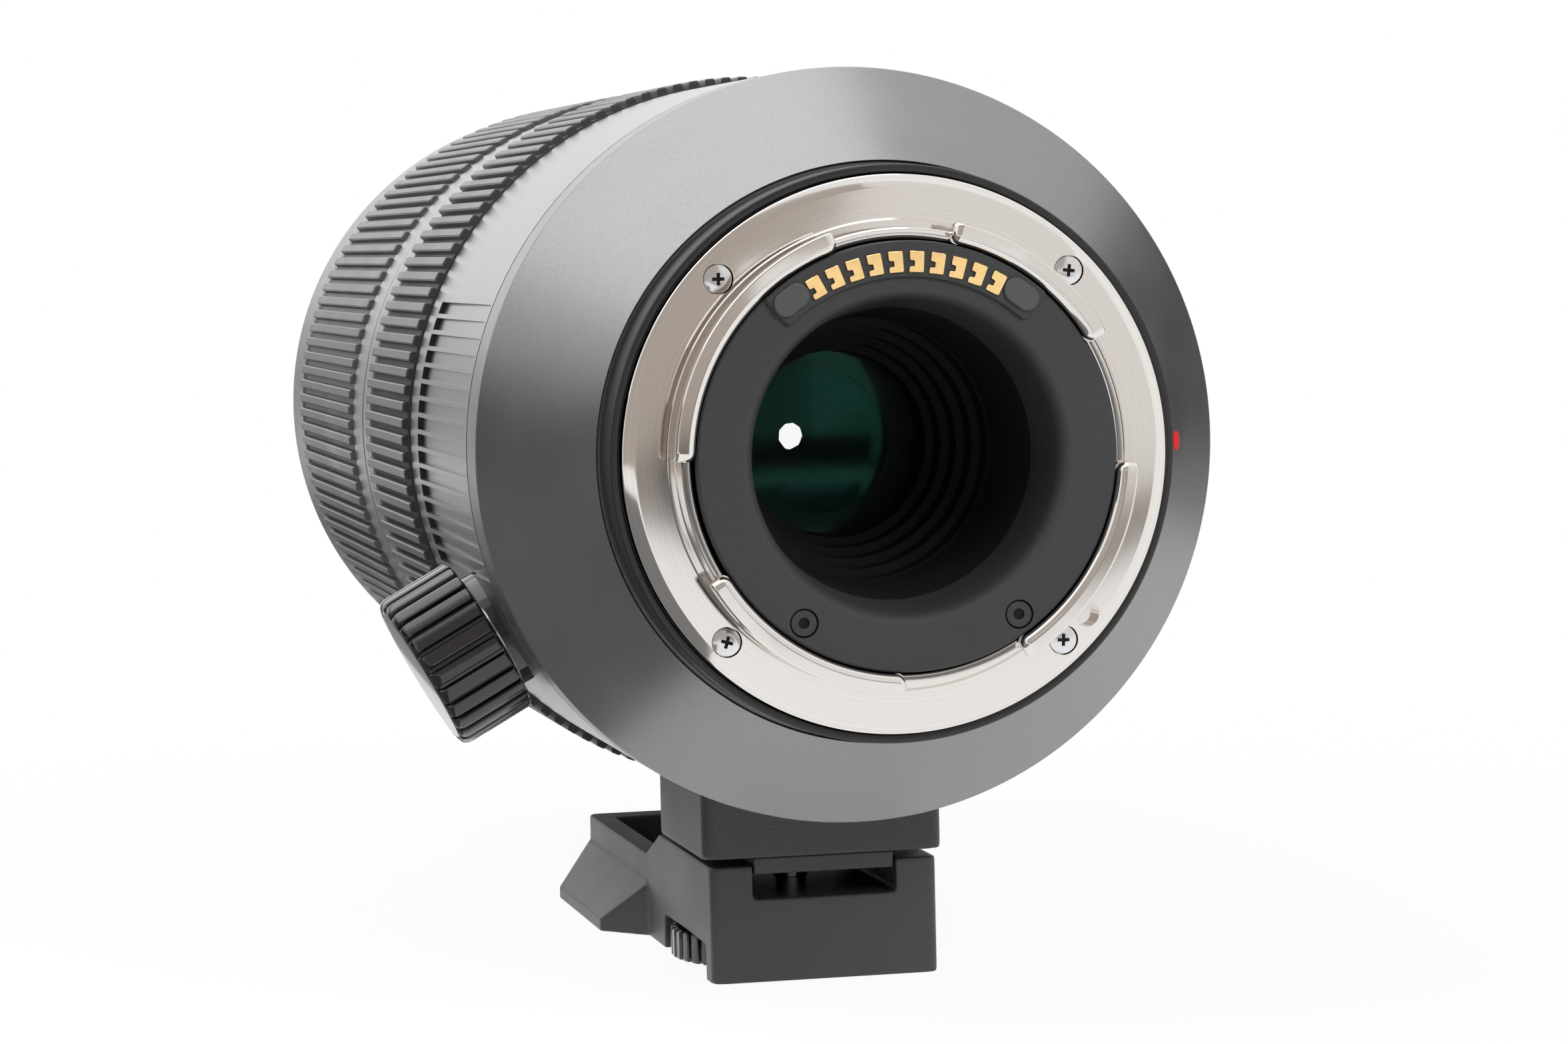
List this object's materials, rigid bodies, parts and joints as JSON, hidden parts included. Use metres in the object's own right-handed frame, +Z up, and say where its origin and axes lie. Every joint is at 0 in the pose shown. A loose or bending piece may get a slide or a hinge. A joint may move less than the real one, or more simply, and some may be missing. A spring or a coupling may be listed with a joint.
{
  "type": "telephoto zoom lens",
  "caption": "Telephoto zoom lens with bayonet mount, ribbed focus and zoom rings, extending front barrel and turning tripod collar with detachable dovetail foot.",
  "frame": {"origin": "centre of the bayonet flange face, on the optical axis", "axes": "+Y along the optical axis towards the front glass, +Z up away from the tripod foot, +X right seen from the camera"},
  "size_m": [0.095, 0.2033, 0.1078],
  "materials": {
    "chrome_mount": "polished",
    "steel_screws": "satin",
    "rubber_seal": "matte",
    "black_plastic": "matte",
    "gold_contacts": "polished",
    "satin_barrel": "satin anodised",
    "red_dot": "gloss",
    "inner_metal": "matte anodised",
    "cam_metal": "satin",
    "circuit_green": "gloss",
    "lens_glass": "coated",
    "foot_metal": "fine texture",
    "knob_black": "gloss",
    "follower_brass": "satin",
    "blade_steel": "matte"
  },
  "bodies": {
    "lens_body": {"mount_bayonet": "chrome_mount", "mount_screws": "steel_screws", "mount_seal": "rubber_seal", "contact_block": "black_plastic", "contact_pads": "gold_contacts", "rear_baffle": "black_plastic", "baffle_screws": "black_plastic", "rear_housing": "satin_barrel", "index_dot": "red_dot", "main_tube": "inner_metal", "focus_sleeve": "inner_metal", "index_band": "satin_barrel", "circuit_board": "circuit_green", "inner_barrel": "inner_metal", "rear_cell": "black_plastic", "rear_element": "lens_glass", "iris_base": "black_plastic", "iris_cover": "black_plastic", "focus_motor": "steel_screws", "guide_rods": "steel_screws", "rod_ring": "inner_metal"},
    "collar": {"tripod_collar": "satin_barrel", "collar_neck": "foot_metal", "neck_screws": "steel_screws", "foot_rail": "foot_metal", "clamp_bush": "knob_black"},
    "knob": {"clamp_knob": "knob_black", "clamp_screw": "steel_screws"},
    "foot": {"tripod_foot": "foot_metal", "thread_insert_small": "steel_screws", "thread_insert_large": "steel_screws", "stop_screws": "steel_screws"},
    "wheel": {"lock_wheel": "knob_black", "lock_screw": "steel_screws"},
    "focus_grip": {"focus_ring": "satin_barrel"},
    "zoom_grip": {"zoom_ring": "satin_barrel", "zoom_cam_tube": "cam_metal"},
    "front_group": {"front_barrel": "inner_metal", "cam_followers": "follower_brass", "front_rim": "inner_metal", "front_retainer": "inner_metal", "front_element": "lens_glass", "second_element": "lens_glass"},
    "variator_group": {"variator_cell": "inner_metal", "variator_element": "lens_glass"},
    "focus_group": {"focus_cell": "black_plastic", "focus_element": "lens_glass"},
    "lead_screw": {"focus_lead_screw": "follower_brass"},
    "iris_drive": {"iris_ring": "inner_metal"},
    "blade_1": {"iris_blade_1": "blade_steel"},
    "blade_2": {"iris_blade_2": "blade_steel"},
    "blade_3": {"iris_blade_3": "blade_steel"},
    "blade_4": {"iris_blade_4": "blade_steel"},
    "blade_5": {"iris_blade_5": "blade_steel"},
    "blade_6": {"iris_blade_6": "blade_steel"},
    "blade_7": {"iris_blade_7": "blade_steel"},
    "blade_8": {"iris_blade_8": "blade_steel"},
    "blade_9": {"iris_blade_9": "blade_steel"}
  },
  "joints": [
    {"name": "collar_turn", "type": "hinge", "parent": "lens_body", "child": "collar", "pos_m": [0, 0.0518, 0], "axis": [0, 1, 0], "continuous": true},
    {"name": "knob_turn", "type": "hinge", "parent": "collar", "child": "knob", "pos_m": [-0.03848, 0.044, -0.02133], "axis": [-0.8746, 0, -0.4848], "range_deg": [0, 540]},
    {"name": "foot_slide", "type": "slide", "parent": "collar", "child": "foot", "axis": [0, -1, 0], "range_m": [0, 0.014]},
    {"name": "wheel_turn", "type": "hinge", "parent": "foot", "child": "wheel", "pos_m": [0, 0.0585, -0.0615], "axis": [0, 0, 1], "range_deg": [-1080, 0]},
    {"name": "focus_ring_turn", "type": "hinge", "parent": "lens_body", "child": "focus_grip", "pos_m": [0, 0.0925, 0], "axis": [0, 1, 0], "continuous": true},
    {"name": "zoom_ring_turn", "type": "hinge", "parent": "lens_body", "child": "zoom_grip", "pos_m": [0, 0.151, 0], "axis": [0, 1, 0], "range_deg": [0, 150]},
    {"name": "front_barrel_slide", "type": "slide", "parent": "lens_body", "child": "front_group", "axis": [0, 1, 0], "range_m": [0, 0.0761]},
    {"name": "variator_slide", "type": "slide", "parent": "lens_body", "child": "variator_group", "axis": [0, 1, 0], "range_m": [0, 0.0381]},
    {"name": "lead_screw_turn", "type": "hinge", "parent": "lens_body", "child": "lead_screw", "pos_m": [0.02252, 0.045, -0.013], "axis": [0, 1, 0], "range_deg": [0, 2161]},
    {"name": "focus_group_slide", "type": "slide", "parent": "lens_body", "child": "focus_group", "axis": [0, 1, 0], "range_m": [0, 0.006]},
    {"name": "iris_drive_turn", "type": "hinge", "parent": "lens_body", "child": "iris_drive", "pos_m": [0, 0.0555, 0], "axis": [0, -1, 0], "range_deg": [0, 28.5]},
    {"name": "blade_1_swing", "type": "hinge", "parent": "lens_body", "child": "blade_1", "pos_m": [0.01241, 0.052, -0.01041], "axis": [0, -1, 0], "range_deg": [0, 28.6]},
    {"name": "blade_2_swing", "type": "hinge", "parent": "lens_body", "child": "blade_2", "pos_m": [0.00281, 0.052, -0.01595], "axis": [0, -1, 0], "range_deg": [0, 28.6]},
    {"name": "blade_3_swing", "type": "hinge", "parent": "lens_body", "child": "blade_3", "pos_m": [-0.0081, 0.052, -0.01403], "axis": [0, -1, 0], "range_deg": [0, 28.6]},
    {"name": "blade_4_swing", "type": "hinge", "parent": "lens_body", "child": "blade_4", "pos_m": [-0.01522, 0.052, -0.00554], "axis": [0, -1, 0], "range_deg": [0, 28.6]},
    {"name": "blade_5_swing", "type": "hinge", "parent": "lens_body", "child": "blade_5", "pos_m": [-0.01522, 0.052, 0.00554], "axis": [0, -1, 0], "range_deg": [0, 28.6]},
    {"name": "blade_6_swing", "type": "hinge", "parent": "lens_body", "child": "blade_6", "pos_m": [-0.0081, 0.052, 0.01403], "axis": [0, -1, 0], "range_deg": [0, 28.6]},
    {"name": "blade_7_swing", "type": "hinge", "parent": "lens_body", "child": "blade_7", "pos_m": [0.00281, 0.052, 0.01595], "axis": [0, -1, 0], "range_deg": [0, 28.6]},
    {"name": "blade_8_swing", "type": "hinge", "parent": "lens_body", "child": "blade_8", "pos_m": [0.01241, 0.052, 0.01041], "axis": [0, -1, 0], "range_deg": [0, 28.6]},
    {"name": "blade_9_swing", "type": "hinge", "parent": "lens_body", "child": "blade_9", "pos_m": [0.0162, 0.052, 0], "axis": [0, -1, 0], "range_deg": [0, 28.6]}
  ],
  "couplings": [
    {"joint": "front_barrel_slide", "follows": "zoom_ring_turn", "m_per_rad": 0.02903},
    {"joint": "variator_slide", "follows": "zoom_ring_turn", "m_per_rad": 0.014515},
    {"joint": "lead_screw_turn", "follows": "focus_group_slide", "rad_per_m": 6283.2},
    {"joint": "blade_1_swing", "follows": "iris_drive_turn", "ratio": 1},
    {"joint": "blade_2_swing", "follows": "iris_drive_turn", "ratio": 1},
    {"joint": "blade_3_swing", "follows": "iris_drive_turn", "ratio": 1},
    {"joint": "blade_4_swing", "follows": "iris_drive_turn", "ratio": 1},
    {"joint": "blade_5_swing", "follows": "iris_drive_turn", "ratio": 1},
    {"joint": "blade_6_swing", "follows": "iris_drive_turn", "ratio": 1},
    {"joint": "blade_7_swing", "follows": "iris_drive_turn", "ratio": 1},
    {"joint": "blade_8_swing", "follows": "iris_drive_turn", "ratio": 1},
    {"joint": "blade_9_swing", "follows": "iris_drive_turn", "ratio": 1}
  ]
}
